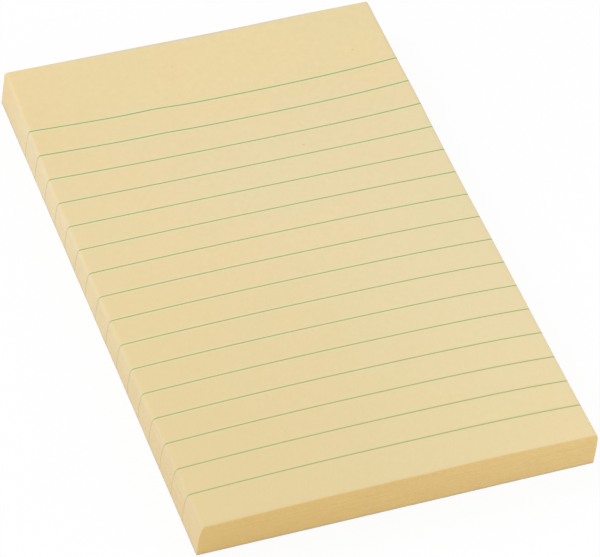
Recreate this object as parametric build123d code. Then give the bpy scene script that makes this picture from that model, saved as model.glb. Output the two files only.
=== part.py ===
from build123d import *
import os

# Lined sticky note pad, in millimetres.
# X runs along the ruled lines, Y from the foot of the notes up to the header, Z up.
# The origin is the centre of the underside.

# Notes, trimmed together as one stack
note_width = 98.4
note_length = 149.2
note_count = 90
note_thickness = 0.08

# Adhesive band on the back of each note, along its header end
band_width = 19.0
band_thickness = 0.033

# Backing sheet that covers the adhesive of the last note
backing_thickness = 0.12

# Printed ruling, the same on every note, so it is cut through at both long edges
first_line_drop = 20.0
line_pitch = 7.94
line_width = 0.3
foot_margin = 10.0
ink_depth = 0.12

# How far the loose foot ends of the notes spring open
foot_lift = 3.65

# The trimming knife drags the upper notes inwards: the long sides bend in above this height
draw_start = 5.0
draw_radius = 12.0

# Softened edge of the top note at the header and the foot
end_round = 0.3

# Extra reach of every cutting shape
overrun = 2.0

# Stations of the top surface where the bands thicken the header end. Each holds its distance from
# the header in band widths, then the rise of the long edges and of the middle in band build-ups.
glued_shares = ((-0.1, 1.0, 1.0), (1.05, 0.63, 0.12), (1.68, 0.39, 0))

# Stations where the notes are loose. Each holds its place along the free length, then the rise of
# the long edges and of the middle in foot lifts.
loose_shares = ((0.17, 0.11, 0.17), (0.44, 0.24, 0.57), (0.72, 0.41, 0.84), (1.02, 0.76, 1.0))

# Places across the half width at which each station is sampled
across_shares = (-1.1, -0.5, 0, 0.5, 1.1)

header_end = note_length / 2
stack_bottom = backing_thickness
pressed_top = stack_bottom + note_count * note_thickness
band_build_up = note_count * band_thickness
glued_length = glued_shares[-1][0] * band_width
free_length = note_length - glued_length
highest = pressed_top + max(band_build_up, foot_lift) + overrun
line_count = int((note_length - first_line_drop - foot_margin) / line_pitch) + 1
band_y = header_end - band_width / 2
band_top = stack_bottom + band_thickness


def stations():
    """Y, edge height and middle height along the top surface, from the header to the foot."""
    for place_share, edge_share, middle_share in glued_shares:
        y = header_end - place_share * band_width
        yield y, pressed_top + edge_share * band_build_up, pressed_top + middle_share * band_build_up
    for place_share, edge_share, middle_share in loose_shares:
        y = header_end - glued_length - place_share * free_length
        yield y, pressed_top + edge_share * foot_lift, pressed_top + middle_share * foot_lift


def block(width, length, bottom, top, y=0):
    """A plain block between two heights, centred across the notes."""
    return Pos(0, y, bottom) * Box(width, length, top - bottom, align=(Align.CENTER, Align.CENTER, Align.MIN))


def under_crown(depth):
    """All that lies deeper than this below the top surface, hollow at the header and domed at the foot."""
    rows = [
        [
            (across * note_width / 2, y, middle + (edge - middle) * across**2 - depth)
            for across in across_shares
        ]
        for y, edge, middle in stations()
    ]
    crown = Face.make_surface_from_array_of_points(rows, min_deg=3, max_deg=3)
    return extrude(crown, amount=highest, dir=(0, 0, -1))


def inside_trim(depth):
    """All that lies deeper than this behind the trimmed long sides, which bend in at the top."""
    width = note_width - 2 * depth
    trimmed = block(width, note_length, stack_bottom - depth, draw_start + draw_radius - depth)
    top_edges = trimmed.edges().filter_by(Axis.Y).sort_by(Axis.Z)[-2:]
    return fillet(top_edges, draw_radius - depth)


def trimmed_stack():
    """All the notes, with the top note's end edges softened and the last note seated over its band."""
    stack = inside_trim(0) & under_crown(0)
    ends = [stack.faces().sort_by(Axis.Y)[0], stack.faces().sort_by(Axis.Y)[-1]]
    softened = fillet([end.edges().sort_by(Axis.Z)[-1] for end in ends], end_round)
    seat = block(note_width + overrun, band_width + overrun, -overrun, band_top, band_y + overrun / 2)
    return softened - seat


def ruling_slots():
    """One upright slot through the stack for each ruled line."""
    first_line = header_end - first_line_drop
    return Compound(children=[
        block(note_width + overrun, line_width, -overrun, highest, first_line - line * line_pitch)
        for line in range(line_count)
    ])


stack = trimmed_stack()
slots = ruling_slots()
ruled_slices = stack & slots
under_ink = under_crown(ink_depth)
behind_ink = inside_trim(ink_depth)

pieces = {
    "note_stack": stack - (slots - (under_ink & behind_ink)),
    "ruled_lines": ruled_slices - under_ink,
    "cut_line_ends": (ruled_slices & under_ink) - behind_ink,
    "adhesive_band": block(note_width, band_width, stack_bottom, band_top, band_y),
    "backing_sheet": block(note_width, note_length, 0, backing_thickness),
}

os.makedirs("parts", exist_ok=True)
for name, shape in pieces.items():
    export_step(shape, f"parts/{name}.step")
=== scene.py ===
import math
from typing import NamedTuple

import bpy
import numpy as np
from mathutils import Matrix, Vector


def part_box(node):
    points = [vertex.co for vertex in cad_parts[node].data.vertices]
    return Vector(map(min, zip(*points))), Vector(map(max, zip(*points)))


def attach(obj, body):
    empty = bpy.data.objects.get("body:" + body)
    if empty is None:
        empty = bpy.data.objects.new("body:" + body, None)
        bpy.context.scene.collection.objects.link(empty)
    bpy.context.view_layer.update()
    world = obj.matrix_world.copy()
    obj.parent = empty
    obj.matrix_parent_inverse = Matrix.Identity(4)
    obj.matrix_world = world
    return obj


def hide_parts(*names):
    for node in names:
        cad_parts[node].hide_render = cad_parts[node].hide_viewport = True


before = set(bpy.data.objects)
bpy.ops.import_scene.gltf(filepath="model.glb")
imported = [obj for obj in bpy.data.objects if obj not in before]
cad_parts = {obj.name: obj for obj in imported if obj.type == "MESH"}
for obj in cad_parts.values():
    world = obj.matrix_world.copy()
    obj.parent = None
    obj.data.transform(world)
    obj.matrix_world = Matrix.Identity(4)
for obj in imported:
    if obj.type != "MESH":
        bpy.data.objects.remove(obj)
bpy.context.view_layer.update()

MM = 0.001
random = np.random.default_rng(16)

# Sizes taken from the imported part
stack_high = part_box("note_stack")[1]
band_low, band_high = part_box("adhesive_band")
backing_low, backing_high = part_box("backing_sheet")
ruling_low, ruling_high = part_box("ruled_lines")
half_width = stack_high.x
half_length = stack_high.y

# Notes in the stack, and the most of its height that their paper may fill
NOTE_COUNT = 90
NOTE_THICKNESS = 0.08 * MM
PRESSED_SHARE = 0.93

# Gaps between the notes: the least weight of one, its sway along the edges, and how uneven the gaps are
# where the notes are bound and where they are loose
LEAST_GAP = 0.15
GAP_SWAY = 0.5
GAP_WAVES = (3, 12)
BOUND_UNEVENNESS = 0.12
LOOSE_UNEVENNESS = 0.22

# Edges of the notes: depth of the grooves between them, how many times deeper the loose ones are, and
# how far each edge stands back
GROOVE_DEPTH = 0.05 * MM
LOOSE_GROOVE = 1.1
EDGE_SLIP = 0.01 * MM
LOOSE_SLIP = 0.01 * MM
STEADY_SLIP_SHARE = 0.4
SLIP_WAVES = (5, 20)

# Painted shade and warm bounce from the gaps between the notes on their edges, from 0 to 1: at the header,
# at the sides towards the foot and over the adhesive, and at the foot, falling from left to right as painted
# light
HEADER_GAP_SHADE = 0.5
SIDE_GAP_SHADE = 0.3
GLUED_GAP_SHADE = 0.33
FOOT_GAP_SHADE = 0.925
FOOT_GAP_SHADE_TILT = 0.105

# Ruling printed on every note
LINE_COUNT = 16
LINE_WIDTH = 0.3 * MM
INK_DEPTH = 0.05 * MM
NOTCH_DEPTH = 0.06 * MM
PRINT_DRIFT = 0.018 * MM
PRINT_JITTER = 0.02 * MM

# Stations of the stack, from the header to the foot: distance from the header; height of the top note
# at its left edge, its middle and its right edge; how far the knife has drawn in the left and the
# right edge; and how deep below the top note that reaches
STATIONS = np.array((
    (0.0, 10.24, 10.34, 10.82, 0.60, 1.35, 20.0),
    (10.0, 9.56, 8.82, 10.18, 0.56, 1.02, 14.0),
    (20.0, 9.04, 7.66, 9.54, 0.50, 0.66, 9.0),
    (31.0, 8.26, 7.24, 8.92, 0.46, 0.26, 7.0),
    (44.0, 7.84, 7.57, 8.22, 0.44, 0.04, 6.0),
    (60.0, 7.88, 8.45, 8.04, 0.42, 0.02, 6.0),
    (83.0, 8.33, 9.39, 8.50, 0.42, 0.06, 6.0),
    (107.0, 8.86, 10.14, 8.96, 0.44, 0.10, 6.0),
    (131.0, 9.36, 10.80, 9.38, 0.58, 0.18, 6.0),
    (140.0, 9.56, 10.83, 9.76, 0.66, 0.24, 6.5),
    (149.2, 9.78, 10.64, 10.22, 0.74, 0.30, 7.0),
)) * MM
PLACE, LEFT, MIDDLE, RIGHT, DRAWN_LEFT, DRAWN_RIGHT, DRAWN_REACH = range(7)

# The crown across the notes is round on the left, and flatter on the right once clear of the header
CROWN_POWER = 2.0
RIGHT_CROWN_POWER = 3.5
RIGHT_CROWN_PLACE = 60 * MM

# Gentle buckles of the top note: centre, height, spread across and along
BUCKLES = (
    (-16 * MM, 54 * MM, 0.36 * MM, 6 * MM, 10 * MM),
    (22 * MM, -75 * MM, 0.22 * MM, 12 * MM, 8 * MM),
    (29 * MM, 76 * MM, 0.28 * MM, 15 * MM, 9 * MM),
)

# The top notes are bent over and rounded off along their trimmed edges
END_ROUND = 0.3 * MM
END_BEND = 0.25 * MM
END_BEND_REACH = 1.2 * MM
SIDE_BEND = 0.22 * MM
SIDE_BEND_REACH = 0.6 * MM
SIDE_ROUND = 0.25 * MM
SIDE_ROUND_DEPTH = 0.6 * MM

# Spacing of the mesh: even rows and columns, and finer ones where the ends and sides bend over
ROW_SPACING = 2.7 * MM
END_ROWS = np.array((0.0, 0.5, 1.0)) * END_BEND_REACH
MIDDLE_COLUMNS = 38
SIDE_COLUMNS = np.array((0.0, 0.15, 0.3, 0.45, 0.65)) * MM
COLUMN_COUNT = MIDDLE_COLUMNS + 2 * (len(SIDE_COLUMNS) - 1)
SHARP_ANGLE = math.radians(25)

# The underside of the stack steps up over the adhesive band by a short ramp
BAND_RAMP = 0.5 * MM

# Plan of a unit sheet, anticlockwise from above
UNIT_CORNERS = np.array(((-1, -1), (1, -1), (1, 1), (-1, 1)))

# Thin sheets: points along each side, how far their corners are softened as a share of half the
# thickness, and the height share of each ring, with whether it is softened
SHEET_STEPS = 48
SOFTENING_SHARE = 0.6
SHEET_RINGS = ((-1, 1), (-0.4, 0), (0.4, 0), (1, 1))
ADHESIVE_RAGGEDNESS = 0.08 * MM
BACKING_RAGGEDNESS = 0.03 * MM

# Camera, aimed from the front left and rolled a little
CAMERA_AIM = Vector((0.89, -5.15, 4.5)) * MM
CAMERA_DISTANCE = 954.4 * MM
CAMERA_AZIMUTH = math.radians(-25.6)
CAMERA_ELEVATION = math.radians(47.66)
CAMERA_ROLL = math.radians(7.42)
CAMERA_LENS = 238.5
SENSOR_WIDTH = 36

# Floor
FLOOR_SIZE = 6.0
FLOOR_UNDER_PAD = 0.5 * MM
FLOOR_DROP = 0.02 * MM
FLOOR_COLOUR = (0.98, 0.98, 0.98, 1)
FLOOR_ROUGHNESS = 0.9
FLOOR_SHINE = 0.1

# Light, and the place, size and power of each lamp
WHITE = (1, 1, 1, 1)
AMBIENT = 0.70
FLOOR_GLOW = 0.92
KEY_LAMP = ((-0.52, 0.34, 0.50), 0.5, 2.2)
FILL_LAMP = ((0.24, -0.26, 0.17), 0.2, 0.28)


class Pattern(NamedTuple):
    """Smooth noise: size of its blotches in millimetres, detail, and the values that count as 0 and 1."""

    size: float
    detail: float
    low: float
    high: float


class Tint(NamedTuple):
    """A colour laid over another: how strongly, and its 0 to 255 values on screen."""

    strength: float
    colour: tuple


class Ink(NamedTuple):
    """Printing ink: its colours where deep, thin and worn, and how far the paper breaks it up."""

    deep: tuple
    thin: tuple
    worn: tuple
    break_up: float


class Finish(NamedTuple):
    """A surface: least and greatest roughness, depth of its relief, and shine."""

    smoothest: float
    roughest: float
    relief: float
    shine: float


# Places and sizes on the materials below are in plain millimetres, and colours in 0 to 255 values

# Face of the notes, which drifts between two shades
FACE_COLOURS = ((239, 217, 171), (235, 219, 173))
FACE_STRETCH = (1, 7, 1)
FACE_DRIFT = Pattern(24, 1.0, 0.35, 0.65)
FACE_CLOUD = Pattern(1.6, 4.0, 0.3, 0.7)
FACE_FIBRE = Pattern(0.18, 3.0, 0.35, 0.75)
FACE_FINISH = Finish(0.82, 0.92, 0.006 * MM, 0.25)
CLOUD_TINT = Tint(0.35, (229, 208, 157))
FIBRE_TINT = Tint(0.22, (246, 229, 186))

# Glue under the face, which fades out from inside the band's edge to past it
GLUED_INSIDE = 6
GLUED_PAST = 12
GLUED_TINT = Tint(0.35, (246, 219, 159))

# Painted shade on the face, growing towards the foot, most of all round the left foot corner
FOOT_SHADE_FROM = 25
SHADED_CORNER = (-52, -72)
CORNER_SHADE_REACH = 95
CORNER_SHADE_CORE = 23.75
FOOT_SHADE_TINT = Tint(0.4, (236, 210, 150))
CORNER_SHADE_TINT = Tint(0.45, (221, 206, 156))

# Darker towards the left edge, and paler towards the right one where clear of the header and the foot
SIDES_FROM = -5
HEADER_FADE = (55, 20)
FOOT_FADE = (-85, -50)
LEFT_TINT = Tint(0.35, (236, 210, 156))
RIGHT_TINT = Tint(0.31, (238, 227, 186))

# Ink bled into the paper beside the lines, weaker towards the foot, and spread further only there
BLEED_REACH = 0.9
BLEED_STRENGTHS = (0.8, 0.62)
BLEED_TINT = Tint(1.0, (226, 228, 178))
SPREAD_REACH = 0.75
SPREAD_FADE = (0.5, 0.95)
SPREAD_TINT = Tint(0.32, (205, 196, 133))

# Specks in the face: place and radius, with a full core
SPECKS = ((15.9, 33.9, 0.32), (-7.4, 66.7, 0.26), (38.5, 60.4, 0.3))
SPECK_CORE_SHARE = 1 / 3
SPECK_TINT = Tint(0.4, (178, 148, 100))

# Patchy grey along the header edge: distances from the edge and from the middle over which it fades
HEADER_GREY_FADE = (1.0, 0.4)
HEADER_GREY_SIDE_FADE = (45, 8)
HEADER_GREY_PATCHES = Pattern(4, 3.0, 0.35, 0.6)
HEADER_GREY_STRENGTHS = (0.5, 0.95)
HEADER_GREY_TINT = Tint(1.0, (214, 208, 206))

# Cut edges of the notes: colours where pressed and where open, the open one a deeper, darker yellow of
# painted shade and bounce in the gaps; and the heights where painted contact shade towards the floor starts
# and is full
EDGE_COLOURS = ((233, 218, 182), (235, 203, 132))
EDGE_STRETCH = (1, 1, 14)
EDGE_STREAK = Pattern(0.5, 3.0, 0.35, 0.7)
EDGE_DUST = Pattern(3.0, 3.0, 0.35, 0.7)
EDGE_FINISH = Finish(0.84, 0.94, 0.008 * MM, 0.2)
TONE_AND_GROOVE_SHADE_TINT = Tint(0.10, (225, 196, 138))
STREAK_TINT = Tint(0.08, (246, 228, 188))
EDGE_DUST_TINT = Tint(0.10, (216, 190, 140))
CONTACT_SHADE_FADE = (0.8, 0.1)
CONTACT_SHADE_TINT = Tint(0.4, (182, 176, 158))

# Inks, with how much of the thin colour shows in long runs and of the worn one at the foot
LINE_INK = Ink((148, 164, 102), (172, 180, 119), (218, 180, 127), 0.5)
CUT_INK = Ink((192, 185, 143), (210, 197, 151), (213, 196, 149), 0.7)
INK_COVERAGE = Pattern(0.12, 3.0, 0.3, 0.7)
INK_RUN = Pattern(9.0, 2.0, 0.35, 0.65)
INK_RUN_STRENGTH = 0.25
INK_WORN_STRENGTH = 0.45
INK_FINISH = Finish(0.7, 0.85, 0.004 * MM, 0.25)

# Backing paper
BACKING_COLOURS = ((238, 234, 220), (230, 225, 208))
BACKING_STRETCH = (1, 5, 1)
BACKING_CLOUD = Pattern(2.5, 4.0, 0.3, 0.7)
BACKING_FIBRE = Pattern(0.25, 3.0, 0.4, 0.75)
BACKING_FIBRE_TINT = Tint(0.2, (248, 246, 236))
BACKING_FINISH = Finish(0.55, 0.68, 0.005 * MM, 0.35)
# The trimmed edge's dark grey is painted contact shadow along the pad's bottom
BACKING_EDGE_SHADE_COLOURS = ((124, 132, 134), (142, 150, 150))
BACKING_EDGE_STRETCH = (1, 1, 6)
BACKING_EDGE_STREAK = Pattern(0.3, 3.0, 0.35, 0.7)
BACKING_EDGE_SHADE_MOTTLE = Pattern(1.5, 3.0, 0.35, 0.7)
BACKING_EDGE_SHADE_TINT = Tint(0.4, (114, 120, 122))
BACKING_EDGE_FINISH = Finish(0.8, 0.92, 0.006 * MM, 0.2)

# Adhesive
ADHESIVE_COLOURS = ((238, 232, 212), (228, 220, 194))
ADHESIVE_CLOUD = Pattern(2.0, 3.0, 0.3, 0.7)
ADHESIVE_BEAD_SIZE = 0.12
ADHESIVE_FINISH = Finish(0.35, 0.5, 0.01 * MM, 0.5)


def through(places, values, at):
    """A smooth cubic curve through a few values, read at any places."""
    slopes = np.gradient(values, places)
    before = np.clip(np.searchsorted(places, at) - 1, 0, len(places) - 2)
    after = before + 1
    span = places[after] - places[before]
    t = (at - places[before]) / span
    start = (1 + 2 * t) * (1 - t) ** 2 * values[before] + t * (1 - t) ** 2 * span * slopes[before]
    end = t**2 * (3 - 2 * t) * values[after] + t**2 * (t - 1) * span * slopes[after]
    return start + end


def at_station(column, y):
    """One column of the stations, read at any place along the notes."""
    return through(STATIONS[:, PLACE], STATIONS[:, column], half_length - y)


def relief(x, y):
    """Height of the top note above the floor."""
    across = x / half_width
    clear = np.clip((half_length - y) / RIGHT_CROWN_PLACE, 0, 1)
    right_power = CROWN_POWER + (RIGHT_CROWN_POWER - CROWN_POWER) * clear
    power = np.where(across < 0, CROWN_POWER, right_power)
    middle = at_station(MIDDLE, y)
    edge = np.where(across < 0, at_station(LEFT, y), at_station(RIGHT, y))
    height = middle + (edge - middle) * np.abs(across) ** power
    from_left = x + half_width - at_station(DRAWN_LEFT, y) - SIDE_ROUND
    from_right = half_width - at_station(DRAWN_RIGHT, y) - SIDE_ROUND - x
    bent = np.clip(1 - np.minimum(from_left, from_right) / SIDE_BEND_REACH, 0, 1)
    height -= SIDE_BEND * bent**2
    height -= END_BEND * np.clip(1 - (half_length - np.abs(y)) / END_BEND_REACH, 0, 1) ** 2
    for centre_x, centre_y, rise, spread_x, spread_y in BUCKLES:
        height += rise * np.exp(-(((x - centre_x) / spread_x) ** 2) - ((y - centre_y) / spread_y) ** 2)
    return height


def drawn_x(across, y, depth):
    """Place across the notes, from 0 at the left edge to 1 at the right, once the knife has drawn them in."""
    bent = np.clip(1 - depth / at_station(DRAWN_REACH, y), 0, 1) ** 2
    rounded = SIDE_ROUND * np.clip(1 - depth / SIDE_ROUND_DEPTH, 0, 1) ** 2
    left = at_station(DRAWN_LEFT, y) * bent + rounded - half_width
    right = half_width - at_station(DRAWN_RIGHT, y) * bent - rounded
    return left + (right - left) * across


def looseness(y):
    """0 where the adhesive holds the notes together, 1 at their free foot ends."""
    return np.clip((band_low.y - y) / (band_low.y + half_length), 0, 1)


def line_places():
    """Places of the ruled lines along the notes, from the foot to the header."""
    first = ruling_low.y + LINE_WIDTH / 2
    last = ruling_high.y - LINE_WIDTH / 2
    return np.linspace(first, last, LINE_COUNT)


def srgb(red, green, blue):
    """A linear colour from the 0 to 255 values that it shows on screen, by the sRGB curve."""
    shares = np.array((red, green, blue)) / 255
    linear = np.where(shares <= 0.04045, shares / 12.92, ((shares + 0.055) / 1.055) ** 2.4)
    return (*linear.tolist(), 1.0)


def new_material(name):
    """A material with a shader tree of its own."""
    material = bpy.data.materials.new(name)
    material.use_nodes = True
    return material


def add_node(tree, kind, inputs=(), **settings):
    """A shader node with its settings, and with its inputs linked or set."""
    made = tree.nodes.new(kind)
    for name, value in settings.items():
        setattr(made, name, value)
    for key, value in dict(inputs).items():
        if isinstance(value, bpy.types.NodeSocket):
            tree.links.new(value, made.inputs[key])
        else:
            made.inputs[key].default_value = value
    return made


def stretched(tree, stretch=(1, 1, 1)):
    """Object coordinates in millimetres, squeezed along each axis by the stretch."""
    place = add_node(tree, "ShaderNodeTexCoord").outputs["Object"]
    scale = tuple(1 / MM / factor for factor in stretch)
    return add_node(tree, "ShaderNodeVectorMath", {0: place, 1: scale}, operation="MULTIPLY").outputs[0]


def along_axis(tree, place, axis):
    """One coordinate of a place: X, Y or Z."""
    return add_node(tree, "ShaderNodeSeparateXYZ", {0: place}).outputs[axis]


def attribute(tree, name):
    """A number that the mesh carries."""
    return add_node(tree, "ShaderNodeAttribute", attribute_name=name).outputs["Fac"]


def ranged(tree, value, start, end, low=0.0, high=1.0):
    """Value mapped from one range to another and held there."""
    inputs = {"Value": value, "From Min": start, "From Max": end, "To Min": low, "To Max": high}
    return add_node(tree, "ShaderNodeMapRange", inputs).outputs["Result"]


def patterned(tree, place, pattern):
    """A pattern of smooth noise, running from 0 to 1."""
    inputs = {"Vector": place, "Scale": 1 / pattern.size, "Detail": pattern.detail}
    value = add_node(tree, "ShaderNodeTexNoise", inputs).outputs["Fac"]
    return ranged(tree, value, pattern.low, pattern.high)


def calculated(tree, operation, first, second=0.0):
    """The result of one arithmetic operation on two numbers."""
    return add_node(tree, "ShaderNodeMath", {0: first, 1: second}, operation=operation).outputs[0]


def times(tree, first, second):
    """Two numbers multiplied."""
    return calculated(tree, "MULTIPLY", first, second)


def distance_across(tree, place, x, y):
    """Distance from a point of the pad's plan, whatever the height."""
    flat = add_node(tree, "ShaderNodeVectorMath", {0: place, 1: (1, 1, 0)}, operation="MULTIPLY").outputs[0]
    inputs = {0: flat, 1: (x, y, 0)}
    return add_node(tree, "ShaderNodeVectorMath", inputs, operation="DISTANCE").outputs["Value"]


def mixed(tree, factor, first, second):
    """Two colours mixed by a factor, each a socket or its 0 to 255 values."""
    first, second = (srgb(*colour) if isinstance(colour, tuple) else colour for colour in (first, second))
    # Inputs 6 and 7 and output 2 are the colours of this node
    inputs = {0: factor, 6: first, 7: second}
    return add_node(tree, "ShaderNodeMix", inputs, data_type="RGBA").outputs[2]


def tinted(tree, colour, *layers):
    """A colour with tints laid over it one by one, each where its factor says."""
    for factor, tint in layers:
        colour = mixed(tree, times(tree, factor, tint.strength), colour, tint.colour)
    return colour


def finish_material(material, colour, wear, height, finish):
    """The material with its colour, roughness and relief joined on, roughest where the wear is 1."""
    tree = material.node_tree
    surface = tree.nodes["Principled BSDF"]
    roughness = ranged(tree, wear, 0.0, 1.0, finish.smoothest, finish.roughest)
    tree.links.new(colour, surface.inputs["Base Color"])
    tree.links.new(roughness, surface.inputs["Roughness"])
    surface.inputs["Specular IOR Level"].default_value = finish.shine
    bump = add_node(tree, "ShaderNodeBump", {"Height": height, "Distance": finish.relief})
    tree.links.new(bump.outputs["Normal"], surface.inputs["Normal"])
    return material


def glued_face(tree, place):
    """1 over the adhesive band, 0 clear of it."""
    y = along_axis(tree, place, "Y")
    edge = band_low.y / MM
    return ranged(tree, y, edge - GLUED_PAST, edge + GLUED_INSIDE)


def shaded_face(tree, place):
    """How far the face is painted darker as shade: all along towards its foot, and round its left foot
    corner.
    """
    corner_x, corner_y = SHADED_CORNER
    distance = distance_across(tree, place, corner_x, corner_y)
    to_foot = ranged(tree, along_axis(tree, place, "Y"), FOOT_SHADE_FROM, corner_y)
    return to_foot, ranged(tree, distance, CORNER_SHADE_REACH, CORNER_SHADE_CORE)


def face_sides(tree, place):
    """How near the left and the right edge of the face are, the right one clear of its ends only."""
    x = along_axis(tree, place, "X")
    y = along_axis(tree, place, "Y")
    to_left = ranged(tree, x, SIDES_FROM, -half_width / MM)
    to_right = ranged(tree, x, SIDES_FROM, half_width / MM)
    clear = calculated(tree, "MINIMUM", ranged(tree, y, *HEADER_FADE), ranged(tree, y, *FOOT_FADE))
    return to_left, times(tree, to_right, clear)


def beside_lines(tree, place, reach):
    """1 at the ruled lines, falling to 0 this far from them."""
    lines = line_places() / MM
    y = along_axis(tree, place, "Y")
    from_first = calculated(tree, "SUBTRACT", y, lines[0])
    from_nearest = calculated(tree, "PINGPONG", from_first, (lines[1] - lines[0]) / 2)
    from_middle = calculated(tree, "ABSOLUTE", calculated(tree, "SUBTRACT", y, lines.mean()))
    beyond_last = calculated(tree, "SUBTRACT", from_middle, (lines[-1] - lines[0]) / 2)
    distance = calculated(tree, "MAXIMUM", from_nearest, beyond_last)
    return ranged(tree, distance, 0.0, reach, 1.0, 0.0)


def on_specks(tree, place):
    """1 on the few specks of the face, 0 elsewhere."""
    covered = 0.0
    for x, y, radius in SPECKS:
        distance = distance_across(tree, place, x, y)
        speck = ranged(tree, distance, radius * SPECK_CORE_SHARE, radius, 1.0, 0.0)
        covered = calculated(tree, "MAXIMUM", speck, covered)
    return covered


def header_grey(tree, place):
    """How grey the face is, in patches, along the middle of its header edge."""
    from_header = calculated(tree, "SUBTRACT", half_length / MM, along_axis(tree, place, "Y"))
    from_middle = calculated(tree, "ABSOLUTE", along_axis(tree, place, "X"))
    near = times(tree, ranged(tree, from_header, *HEADER_GREY_FADE), ranged(tree, from_middle, *HEADER_GREY_SIDE_FADE))
    patches = ranged(tree, patterned(tree, place, HEADER_GREY_PATCHES), 0.0, 1.0, *HEADER_GREY_STRENGTHS)
    return times(tree, near, patches)


def paper_face_material():
    """Soft yellow paper with cloudy formation, fine fibres, a few specks and ink bled in by the lines."""
    material = new_material("paper_face")
    tree = material.node_tree
    plain = stretched(tree)
    cloud = patterned(tree, plain, FACE_CLOUD)
    fibre = patterned(tree, stretched(tree, FACE_STRETCH), FACE_FIBRE)
    to_foot, to_corner = shaded_face(tree, plain)
    to_left, to_right = face_sides(tree, plain)
    bleed_strength = ranged(tree, to_foot, 0.0, 1.0, *BLEED_STRENGTHS)
    spread_strength = ranged(tree, to_foot, *SPREAD_FADE)
    base = mixed(tree, patterned(tree, plain, FACE_DRIFT), *FACE_COLOURS)
    colour = tinted(
        tree, base,
        (glued_face(tree, plain), GLUED_TINT),
        # Painted shade: darker towards the foot and round the left foot corner
        (to_foot, FOOT_SHADE_TINT),
        (to_corner, CORNER_SHADE_TINT),
        (cloud, CLOUD_TINT),
        (fibre, FIBRE_TINT),
        (to_left, LEFT_TINT),
        (to_right, RIGHT_TINT),
        (times(tree, beside_lines(tree, plain, BLEED_REACH), bleed_strength), BLEED_TINT),
        (times(tree, beside_lines(tree, plain, SPREAD_REACH), spread_strength), SPREAD_TINT),
        (on_specks(tree, plain), SPECK_TINT),
        # Patchy grey along the middle of the header edge
        (header_grey(tree, plain), HEADER_GREY_TINT),
    )
    return finish_material(material, colour, cloud, fibre, FACE_FINISH)


def paper_edge_material():
    """Cut paper edges: deeper yellow, darker where painted shade from the gaps falls, each note a tone of its
    own with painted shade in the grooves, faint knife streaks, and painted contact shade along the bottom.
    """
    material = new_material("paper_edge")
    tree = material.node_tree
    plain = stretched(tree)
    streak = patterned(tree, stretched(tree, EDGE_STRETCH), EDGE_STREAK)
    # Painted contact shade: the lowest edges darker towards the floor
    contact_shade = ranged(tree, along_axis(tree, plain, "Z"), *CONTACT_SHADE_FADE)
    # Painted shade and warm bounce from the gaps between loose notes deepen the edge colour
    base = mixed(tree, attribute(tree, "gap_shade"), *EDGE_COLOURS)
    colour = tinted(
        tree, base,
        # Each note's own tone, and painted shade in the grooves between the notes
        (attribute(tree, "note_tone_and_groove_shade"), TONE_AND_GROOVE_SHADE_TINT),
        (streak, STREAK_TINT),
        (patterned(tree, plain, EDGE_DUST), EDGE_DUST_TINT),
        (contact_shade, CONTACT_SHADE_TINT),
    )
    return finish_material(material, colour, streak, streak, EDGE_FINISH)


def ink_material(name, ink):
    """Printing ink that lets the paper through unevenly, and is most worn towards the foot."""
    material = new_material(name)
    tree = material.node_tree
    plain = stretched(tree)
    coverage = patterned(tree, plain, INK_COVERAGE)
    to_foot = ranged(tree, along_axis(tree, plain, "Y"), half_length / MM, -half_length / MM)
    base = mixed(tree, times(tree, coverage, ink.break_up), ink.deep, ink.thin)
    colour = tinted(
        tree, base,
        (patterned(tree, plain, INK_RUN), Tint(INK_RUN_STRENGTH, ink.thin)),
        (to_foot, Tint(INK_WORN_STRENGTH, ink.worn)),
    )
    return finish_material(material, colour, coverage, coverage, INK_FINISH)


def backing_face_material():
    """Smoother backing paper, paler and greyer than the notes."""
    material = new_material("backing_face")
    tree = material.node_tree
    cloud = patterned(tree, stretched(tree), BACKING_CLOUD)
    fibre = patterned(tree, stretched(tree, BACKING_STRETCH), BACKING_FIBRE)
    colour = tinted(tree, mixed(tree, cloud, *BACKING_COLOURS), (fibre, BACKING_FIBRE_TINT))
    return finish_material(material, colour, cloud, fibre, BACKING_FINISH)


def backing_edge_material():
    """The backing paper's trimmed edge, painted dark grey as the contact shadow along the pad's bottom, and
    mottled.
    """
    material = new_material("backing_edge_shade")
    tree = material.node_tree
    streak = patterned(tree, stretched(tree, BACKING_EDGE_STRETCH), BACKING_EDGE_STREAK)
    shade_mottle = patterned(tree, stretched(tree), BACKING_EDGE_SHADE_MOTTLE)
    colour = tinted(tree, mixed(tree, streak, *BACKING_EDGE_SHADE_COLOURS), (shade_mottle, BACKING_EDGE_SHADE_TINT))
    return finish_material(material, colour, streak, streak, BACKING_EDGE_FINISH)


def adhesive_material():
    """Milky low-tack adhesive with a pebbled surface."""
    material = new_material("adhesive_coating")
    tree = material.node_tree
    plain = stretched(tree)
    inputs = {"Vector": plain, "Scale": 1 / ADHESIVE_BEAD_SIZE}
    beads = add_node(tree, "ShaderNodeTexVoronoi", inputs).outputs["Distance"]
    cloud = patterned(tree, plain, ADHESIVE_CLOUD)
    colour = mixed(tree, cloud, *ADHESIVE_COLOURS)
    return finish_material(material, colour, cloud, beads, ADHESIVE_FINISH)


class Row(NamedTuple):
    """A row of the mesh: its place along the notes, whether at a ruled line, and whether in its notch."""

    y: float
    at_line: bool = False
    in_notch: bool = False


def rows_between(start, end):
    """Even rows between two places, without the ones at both ends."""
    steps = math.ceil((end - start) / ROW_SPACING)
    return [Row(start + (end - start) * k / steps) for k in range(1, steps)]


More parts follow.
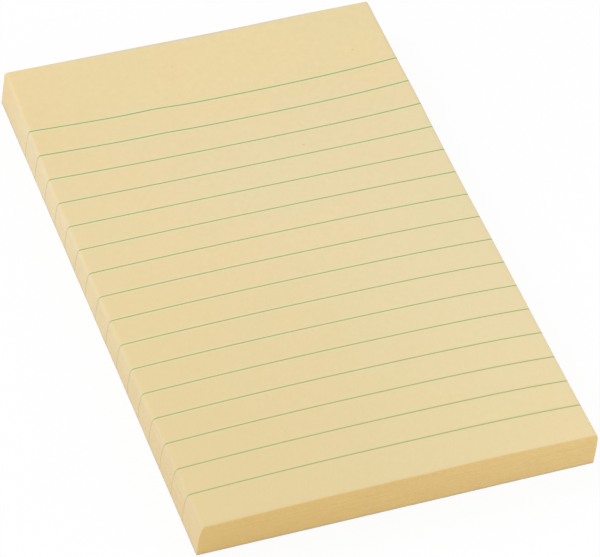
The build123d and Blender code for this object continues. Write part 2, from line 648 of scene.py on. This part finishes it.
def long_side_rows():
    """All rows, from the foot to the header."""
    foot_end = [Row(inset - half_length) for inset in END_ROWS]
    rows = list(foot_end)
    for line_y in line_places():
        near = line_y - LINE_WIDTH / 2
        far = line_y + LINE_WIDTH / 2
        rows += rows_between(rows[-1].y, near)
        rows += [
            Row(near, at_line=True),
            Row(near, at_line=True, in_notch=True),
            Row(far, at_line=True, in_notch=True),
            Row(far, at_line=True),
        ]
    rows += [Row(band_low.y - BAND_RAMP), Row(band_low.y)]
    rows += rows_between(band_low.y, half_length - END_BEND_REACH)
    rows += [Row(-row.y) for row in reversed(foot_end)]
    return rows


class Outline:
    """The outline of the stack, anticlockwise from above, starting at the left foot corner."""

    def __init__(self):
        self.rows = long_side_rows()
        inner = half_width - SIDE_COLUMNS[-1]
        middle = np.linspace(-inner, inner, MIDDLE_COLUMNS + 1)[1:-1]
        columns = np.concatenate((SIDE_COLUMNS - half_width, middle, half_width - SIDE_COLUMNS[::-1]))
        self.column_shares = (columns / half_width + 1) / 2
        last_row = len(self.rows) - 1
        foot = [(column, 0) for column in range(COLUMN_COUNT + 1)]
        right = [(COLUMN_COUNT, row) for row in range(1, last_row + 1)]
        header = [(column, last_row) for column in range(COLUMN_COUNT - 1, 0, -1)]
        left = [(0, row) for row in range(last_row, 0, -1)]
        cells = foot + right + header + left
        self.index = {cell: number for number, cell in enumerate(cells)}
        column, row = np.array(cells).T
        row_y, at_line, in_notch = np.array(self.rows).T
        self.count = len(cells)
        self.across = self.column_shares[column]
        self.x = columns[column]
        self.y = row_y[row]
        self.on_left = column == 0
        self.on_right = column == COLUMN_COUNT
        self.on_foot = row == 0
        self.on_header = row == last_row
        on_side = self.on_left | self.on_right
        self.at_line = (at_line[row] > 0) & on_side
        self.in_notch = (in_notch[row] > 0) & on_side
        steps = np.hypot(np.diff(self.x, prepend=self.x[0]), np.diff(self.y, prepend=self.y[0]))
        self.turn = np.cumsum(steps) / steps.sum() * math.tau

    def line_rows(self):
        """The four rows of each ruled line: its foot side, the two of its notch, and its header side."""
        notch_rows = [number for number, row in enumerate(self.rows) if row.in_notch]
        return [[near - 1, near, far, far + 1] for near, far in zip(notch_rows[::2], notch_rows[1::2])]

    def ring(self, depth, slip, extra=0.0, print_shift=0.0):
        """Plan of one ring of the stack, at a depth below the top note."""
        within = END_ROUND - np.clip(depth, 0, END_ROUND)
        end_inset = END_ROUND - np.sqrt(END_ROUND**2 - within**2) + slip + extra
        side_inset = slip + extra + NOTCH_DEPTH * self.in_notch
        x = drawn_x(self.across, self.y, depth) + side_inset * self.on_left - side_inset * self.on_right
        y = self.y + end_inset * self.on_foot - end_inset * self.on_header
        return x, y + print_shift * self.at_line


class Stack:
    """Heights and plans of every ring of the notes' trimmed edges."""

    def __init__(self, outline):
        self.outline = outline
        loose = looseness(outline.y)
        top_x, top_y = outline.ring(np.zeros(outline.count), 0.0)
        self.top = relief(top_x, top_y)
        on_band = np.clip((outline.y - band_low.y + BAND_RAMP) / BAND_RAMP, 0, 1)
        self.bottom = backing_high.z + on_band * (band_high.z - band_low.z)
        room = self.top - self.bottom
        self.thickness = np.minimum(NOTE_THICKNESS, PRESSED_SHARE * room / NOTE_COUNT)
        gaps = self.gap_weights(loose)
        self.gaps = gaps / gaps.sum(0) * (room - NOTE_COUNT * self.thickness)
        self.slips = self.edge_slips(loose)
        self.groove = GROOVE_DEPTH * (1 + (LOOSE_GROOVE - 1) * loose)
        # The print wanders from note to note down the stack, and is in its true place on the top note
        drift = np.cumsum(random.normal(0, PRINT_DRIFT, NOTE_COUNT)[::-1])[::-1]
        self.print_shifts = drift - drift[-1] + random.normal(0, PRINT_JITTER, NOTE_COUNT)
        self.print_shifts[-1] = 0.0

    def sway(self, count, waves):
        """Sine waves round the outline, each with a start and a number of waves of its own."""
        start = random.uniform(0, math.tau, (count, 1))
        number = np.round(random.uniform(*waves, (count, 1)))
        return np.sin(number * self.outline.turn + start)

    def gap_weights(self, loose):
        """Even gaps where the notes are bound, and random ones, swaying along the edges, where loose."""
        count = NOTE_COUNT - 1
        uneven = random.exponential(1.0, (count, 1)) + LEAST_GAP
        swaying = 1 + GAP_SWAY * self.sway(count, GAP_WAVES)
        unevenness = BOUND_UNEVENNESS + (LOOSE_UNEVENNESS - BOUND_UNEVENNESS) * loose
        return 1 + (uneven * swaying - 1) * unevenness

    def edge_slips(self, loose):
        """How far each note's edge stands back from the outline."""
        base = np.abs(random.normal(0, 1, (NOTE_COUNT, 1)))
        ripple = (1 + self.sway(NOTE_COUNT, SLIP_WAVES)) / 2
        bound_slip = EDGE_SLIP * (STEADY_SLIP_SHARE + (1 - STEADY_SLIP_SHARE) * ripple)
        return base * (bound_slip + LOOSE_SLIP * loose * ripple)

    def note_low(self, note):
        """Height of one note's underside along the outline."""
        return self.bottom + note * self.thickness + self.gaps[:note].sum(0)

    def note_rings(self, note):
        """The two rings at the bottom and the top of one note's edge."""
        low = self.note_low(note)
        high = low + self.thickness
        rings = []
        for height in (low, high):
            x, y = self.outline.ring(self.top - height, self.slips[note], print_shift=self.print_shifts[note])
            rings.append(np.column_stack((x, y, height)))
        # The top note steps down under its ruling
        if note == NOTE_COUNT - 1:
            rings[1][:, 2] -= INK_DEPTH * self.outline.in_notch
        return rings

    def groove_ring(self, note):
        """The ring deep in the gap above one note."""
        height = self.note_low(note) + self.thickness + self.gaps[note] / 2
        slip = (self.slips[note] + self.slips[note + 1]) / 2
        shift = (self.print_shifts[note] + self.print_shifts[note + 1]) / 2
        x, y = self.outline.ring(self.top - height, slip, self.groove, shift)
        return np.column_stack((x, y, height))

    def rings(self):
        """Every ring from the bottom up, with the tone of each: a random one for a note, and 1 in a groove,
        as painted shade.
        """
        rings = []
        tones_and_shade = []
        for note in range(NOTE_COUNT):
            rings += self.note_rings(note)
            tones_and_shade += [random.uniform()] * 2
            if note < NOTE_COUNT - 1:
                rings.append(self.groove_ring(note))
                # A groove takes the full tone, as painted shade
                tones_and_shade.append(1.0)
        return rings, tones_and_shade

    def gap_shade(self):
        """How much painted shade from the gaps the notes' edges carry, from each point of the outline to the
        next.
        """
        outline = self.outline
        on_foot = outline.on_foot & np.roll(outline.on_foot, -1)
        on_header = outline.on_header & np.roll(outline.on_header, -1)
        glued = np.clip((outline.y - band_low.y) / (half_length - band_low.y), 0, 1)
        at_sides = SIDE_GAP_SHADE * looseness(outline.y) + GLUED_GAP_SHADE * glued
        # At the foot the painted shade eases from left to right, as painted light from the right
        at_foot = FOOT_GAP_SHADE - FOOT_GAP_SHADE_TILT * outline.x / half_width
        return np.select((on_foot, on_header), (at_foot, HEADER_GAP_SHADE), at_sides)


def wall_faces(ring_count, around, start=0):
    """Faces between closed rings of points, which run anticlockwise seen from the last ring."""
    here = np.arange(around)
    after = np.roll(here, -1)
    quads = np.column_stack((here, after, after + around, here + around)) + start
    return [tuple(quad) for level in range(ring_count - 1) for quad in (quads + level * around).tolist()]


def closed_faces(ring_count, around, start=0):
    """The same walls, closed by a face on the first ring and one on the last."""
    first = range(start, start + around)
    last = range(start + (ring_count - 1) * around, start + ring_count * around)
    return wall_faces(ring_count, around, start) + [tuple(reversed(first)), tuple(last)]


def add_piece(name, verts, faces, materials, node):
    """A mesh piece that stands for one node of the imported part."""
    mesh = bpy.data.meshes.new(name)
    mesh.from_pydata(verts, [], faces)
    for material in materials:
        mesh.materials.append(material)
    piece = bpy.data.objects.new(name, mesh)
    bpy.context.scene.collection.objects.link(piece)
    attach(piece, "root")
    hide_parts(node)
    return mesh


def add_attribute(mesh, name, domain, values):
    """A number that the mesh carries for its material, for each point or each face."""
    mesh.attributes.new(name, "FLOAT", domain).data.foreach_set("value", values)


def top_note_grid(outline, rim_start, inside_start):
    """Point numbers of the top note's sheet, row by row, and the points of it that lie inside its rim."""
    grid = np.zeros((len(outline.rows), COLUMN_COUNT + 1), int)
    inside = []
    for number, row in enumerate(outline.rows):
        x = drawn_x(outline.column_shares, np.array(row.y), 0.0)
        z = relief(x, np.full(len(x), row.y)) - INK_DEPTH * row.in_notch
        for column in range(COLUMN_COUNT + 1):
            if (column, number) in outline.index:
                grid[number, column] = rim_start + outline.index[column, number]
            else:
                grid[number, column] = inside_start + len(inside)
                inside.append((x[column], row.y, z[column]))
    return grid, np.array(inside)


def top_note_faces(outline, grid):
    """Faces of the top note's sheet, and whether each is smooth, as all are but those at the ink."""
    corners = np.stack((grid[:-1, :-1], grid[:-1, 1:], grid[1:, 1:], grid[1:, :-1]), axis=-1)
    in_notch = np.array([row.in_notch for row in outline.rows])
    smooth = np.repeat(~(in_notch[:-1] | in_notch[1:]), COLUMN_COUNT)
    return corners.reshape(-1, 4).tolist(), smooth.tolist()


def underside_faces(outline):
    """Faces of the stack's underside: flat from the foot, a ramp, and flat again over the band."""
    row_count = len(outline.rows)
    ramp = next(number for number, row in enumerate(outline.rows) if row.y >= band_low.y - BAND_RAMP)
    left = [outline.index[0, row] for row in range(row_count)]
    right = [outline.index[COLUMN_COUNT, row] for row in range(row_count)]
    foot = [outline.index[column, 0] for column in range(1, COLUMN_COUNT)]
    header = [outline.index[column, row_count - 1] for column in range(1, COLUMN_COUNT)]
    return [
        (*left[: ramp + 1], *right[ramp::-1], *foot[::-1]),
        (left[ramp], left[ramp + 1], right[ramp + 1], right[ramp]),
        (*left[ramp + 1:], *header, *right[:ramp:-1]),
    ]


def build_stack(stack, face_paper, edge_paper):
    """The notes as one closed mesh: grooved edges all round, and the top note's sheet with ink grooves."""
    outline = stack.outline
    rings, tones_and_shade = stack.rings()
    rim = np.concatenate(rings)
    grid, inside = top_note_grid(outline, len(rim) - outline.count, len(rim))
    verts = np.concatenate((rim, inside))
    edge_faces = wall_faces(len(rings), outline.count)
    top_faces, top_smooth = top_note_faces(outline, grid)
    bottom_faces = underside_faces(outline)
    faces = edge_faces + top_faces + bottom_faces
    smooth = [False] * len(edge_faces) + top_smooth + [False] * len(bottom_faces)
    on_edge = np.arange(len(faces)) < len(edge_faces)
    # Each note's random tone, with painted shade in the grooves
    point_tones_and_shade = np.concatenate((np.repeat(tones_and_shade, outline.count), np.zeros(len(inside))))
    # Painted shade from the gaps between the notes, for each edge face
    face_gap_shade = np.zeros(len(faces))
    face_gap_shade[on_edge] = np.tile(stack.gap_shade(), len(rings) - 1)

    mesh = add_piece("note_pad_sheets", verts, faces, (face_paper, edge_paper), "note_stack")
    mesh.polygons.foreach_set("material_index", on_edge.astype(np.int32))
    mesh.polygons.foreach_set("use_smooth", smooth)
    mesh.set_sharp_from_angle(angle=SHARP_ANGLE)
    add_attribute(mesh, "note_tone_and_groove_shade", "POINT", point_tones_and_shade)
    add_attribute(mesh, "gap_shade", "FACE", face_gap_shade)
    return verts, grid


def build_ruling(outline, verts, grid, ink):
    """One ribbon of ink in each groove of the top note, flush with its surface and with both sides."""
    ribbon_verts = []
    ribbon_faces = []
    for rows in outline.line_rows():
        ribbon_faces += closed_faces(COLUMN_COUNT + 1, len(rows), len(ribbon_verts))
        for column in range(COLUMN_COUNT + 1):
            section = verts[grid[rows, column]]
            # At the sides, the ink reaches out over the notches to the edge of the paper
            if column in (0, COLUMN_COUNT):
                section[1, :2] = section[0, :2]
                section[2, :2] = section[3, :2]
            ribbon_verts += list(section)
    add_piece("ruled_line_ink", ribbon_verts, ribbon_faces, (ink,), "ruled_lines")


def build_line_ends(stack, ink):
    """The cut end of every ruled line on every note, flush with the note's edge."""
    outline = stack.outline
    end_verts = []
    end_faces = []
    for note in range(NOTE_COUNT):
        low, high = stack.note_rings(note)
        # On the top note, they end under its ruling
        if note == NOTE_COUNT - 1:
            high[:, 2] = stack.top - INK_DEPTH
        for rows in outline.line_rows():
            for column in (0, COLUMN_COUNT):
                corners = [outline.index[column, row] for row in rows]
                if column == COLUMN_COUNT:
                    corners.reverse()
                end_faces += closed_faces(2, len(corners), len(end_verts))
                end_verts += [*low[corners], *high[corners]]
    add_piece("ruled_line_cut_ends", end_verts, end_faces, (ink,), "cut_line_ends")


def build_sheet(name, low, high, raggedness, materials, node):
    """A thin sheet with softened, slightly uneven trimmed edges. Its last material is on those."""
    middle = (low + high) / 2
    half = (high - low) / 2
    shares = np.arange(SHEET_STEPS)[:, None] / SHEET_STEPS
    sides = zip(UNIT_CORNERS, np.roll(UNIT_CORNERS, -1, axis=0))
    plan = np.concatenate([start + (end - start) * shares for start, end in sides])
    uneven = raggedness * random.uniform(0, 1, len(plan))
    rings = []
    for height, softened in SHEET_RINGS:
        inset = uneven + softened * SOFTENING_SHARE * half.z
        x = middle.x + plan[:, 0] * (half.x - inset)
        y = middle.y + plan[:, 1] * (half.y - inset)
        rings.append(np.column_stack((x, y, np.full(len(plan), middle.z + height * half.z))))
    faces = closed_faces(len(rings), len(plan))
    on_edge = np.array([len(face) < len(plan) for face in faces])
    mesh = add_piece(name, np.concatenate(rings), faces, materials, node)
    mesh.polygons.foreach_set("material_index", on_edge.astype(np.int32) * (len(materials) - 1))


def seen_directly(tree):
    """1 for the camera's own rays and for glossy and transmitted ones."""
    path = add_node(tree, "ShaderNodeLightPath").outputs
    total = path["Is Camera Ray"]
    for kind in ("Is Glossy Ray", "Is Transmission Ray"):
        total = calculated(tree, "MAXIMUM", total, path[kind])
    return total


def floor_material():
    """Pale and matt, with a glow that makes it show as white."""
    material = new_material("pale_floor")
    tree = material.node_tree
    surface = tree.nodes["Principled BSDF"]
    surface.inputs["Base Color"].default_value = FLOOR_COLOUR
    surface.inputs["Roughness"].default_value = FLOOR_ROUGHNESS
    surface.inputs["Specular IOR Level"].default_value = FLOOR_SHINE
    glow = add_node(tree, "ShaderNodeEmission", {"Color": WHITE, "Strength": 1.0}).outputs[0]
    seen = times(tree, seen_directly(tree), FLOOR_GLOW)
    mix = add_node(tree, "ShaderNodeMixShader", {0: seen, 1: surface.outputs[0], 2: glow}).outputs[0]
    tree.links.new(mix, tree.nodes["Material Output"].inputs["Surface"])
    return material


def add_floor():
    """A pale floor that keeps the pad's shadow, open where the pad covers it."""
    outer = UNIT_CORNERS * FLOOR_SIZE / 2
    inner = UNIT_CORNERS * (half_width - FLOOR_UNDER_PAD, half_length - FLOOR_UNDER_PAD)
    verts = [(x, y, -FLOOR_DROP) for x, y in np.concatenate((outer, inner))]
    mesh = bpy.data.meshes.new("floor")
    mesh.from_pydata(verts, [], wall_faces(2, len(UNIT_CORNERS)))
    mesh.materials.append(floor_material())
    floor = bpy.data.objects.new("floor", mesh)
    bpy.context.scene.collection.objects.link(floor)


def add_world():
    """Even light from all round, seen as plain white."""
    world = bpy.data.worlds.new("studio")
    world.use_nodes = True
    bpy.context.scene.world = world
    tree = world.node_tree
    strength = ranged(tree, seen_directly(tree), 0.0, 1.0, AMBIENT, 1.0)
    background = tree.nodes["Background"]
    background.inputs["Color"].default_value = WHITE
    tree.links.new(strength, background.inputs["Strength"])


def add_lamp(name, place, size, power):
    """A square soft lamp aimed at the pad."""
    light = bpy.data.lights.new(name, "AREA")
    light.size = size
    light.energy = power
    lamp = bpy.data.objects.new(name, light)
    lamp.location = place
    lamp.rotation_euler = (-Vector(place)).to_track_quat("-Z", "Y").to_euler()
    bpy.context.scene.collection.objects.link(lamp)


def add_camera():
    """The photograph's view: forward is down and towards the header, right is level but for the roll."""
    forward = Vector((
        -math.sin(CAMERA_AZIMUTH) * math.cos(CAMERA_ELEVATION),
        math.cos(CAMERA_AZIMUTH) * math.cos(CAMERA_ELEVATION),
        -math.sin(CAMERA_ELEVATION),
    ))
    level = forward.cross(Vector((0, 0, 1))).normalized()
    right = level * math.cos(CAMERA_ROLL) + level.cross(forward) * math.sin(CAMERA_ROLL)
    up = right.cross(forward)
    data = bpy.data.cameras.new("camera")
    data.lens = CAMERA_LENS
    data.sensor_fit = "HORIZONTAL"
    data.sensor_width = SENSOR_WIDTH
    camera = bpy.data.objects.new("camera", data)
    turned = Matrix((right, up, -forward)).transposed().to_4x4()
    camera.matrix_world = Matrix.Translation(CAMERA_AIM - forward * CAMERA_DISTANCE) @ turned
    bpy.context.scene.collection.objects.link(camera)
    bpy.context.scene.camera = camera


outline = Outline()
stack = Stack(outline)
sheet_verts, sheet_grid = build_stack(stack, paper_face_material(), paper_edge_material())
build_ruling(outline, sheet_verts, sheet_grid, ink_material("line_ink", LINE_INK))
build_line_ends(stack, ink_material("cut_line_ink", CUT_INK))
build_sheet(
    "adhesive_coating", band_low, band_high, ADHESIVE_RAGGEDNESS,
    (adhesive_material(),), "adhesive_band",
)
build_sheet(
    "backing_paper_sheet", backing_low, backing_high, BACKING_RAGGEDNESS,
    (backing_face_material(), backing_edge_material()), "backing_sheet",
)

add_floor()
add_world()
add_lamp("key", *KEY_LAMP)
add_lamp("fill", *FILL_LAMP)
add_camera()
bpy.context.scene.view_settings.view_transform = "Standard"
